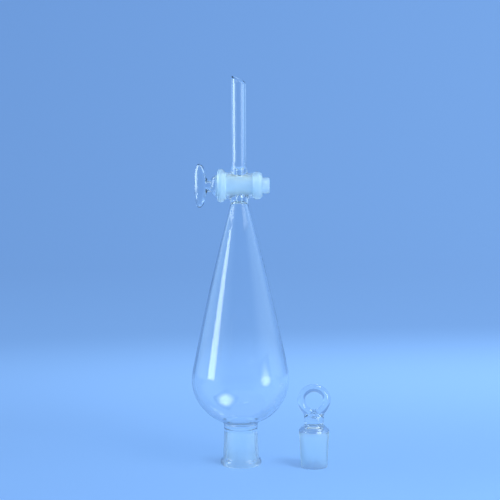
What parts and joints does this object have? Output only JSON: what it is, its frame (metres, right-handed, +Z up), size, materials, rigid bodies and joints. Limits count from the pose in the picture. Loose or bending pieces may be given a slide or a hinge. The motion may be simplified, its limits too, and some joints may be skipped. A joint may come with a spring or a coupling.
{
  "type": "dropping funnel",
  "caption": "Pear-shaped glass dropping funnel standing inverted on its ground socket, with a turning glass stopcock, a drip tube, and a ring stopper beside it.",
  "frame": {"origin": "centre of the ground socket's mouth, on the bench that the inverted funnel stands on", "axes": "+Z up the funnel's axis to the drip tube's tip, +X along the stopcock from its handle to its narrow end, towards the stopper"},
  "size_m": [0.1099, 0.0774, 0.309],
  "materials": {
    "clear_glass": "clear, fire-polished borosilicate glass",
    "ground_glass": "glass with a fine-ground, frosted joint face"
  },
  "bodies": {
    "funnel": {"socket_rim": "clear_glass", "ground_socket": "ground_glass", "socket_neck": "clear_glass", "pear_bulb": "clear_glass", "inlet_weld": "clear_glass", "stopcock_barrel": "ground_glass", "barrel_wide_bead": "clear_glass", "barrel_narrow_bead": "clear_glass", "stem_weld": "clear_glass", "stem": "clear_glass"},
    "key": {"key_cone": "ground_glass", "key_bore_tube": "clear_glass", "key_tip": "ground_glass", "key_neck": "clear_glass", "key_handle": "clear_glass"},
    "stopper": {"stopper_cone": "ground_glass", "stopper_neck": "clear_glass", "stopper_ring": "clear_glass"}
  },
  "joints": [
    {"name": "key_turn", "type": "hinge", "parent": "funnel", "child": "key", "pos_m": [0, 0, 0.223], "axis": [1, 0, 0], "continuous": true},
    {"name": "stopper_lift", "type": "slide", "parent": "funnel", "child": "stopper", "axis": [0, 0, 1], "range_m": [0, 0.1]}
  ]
}
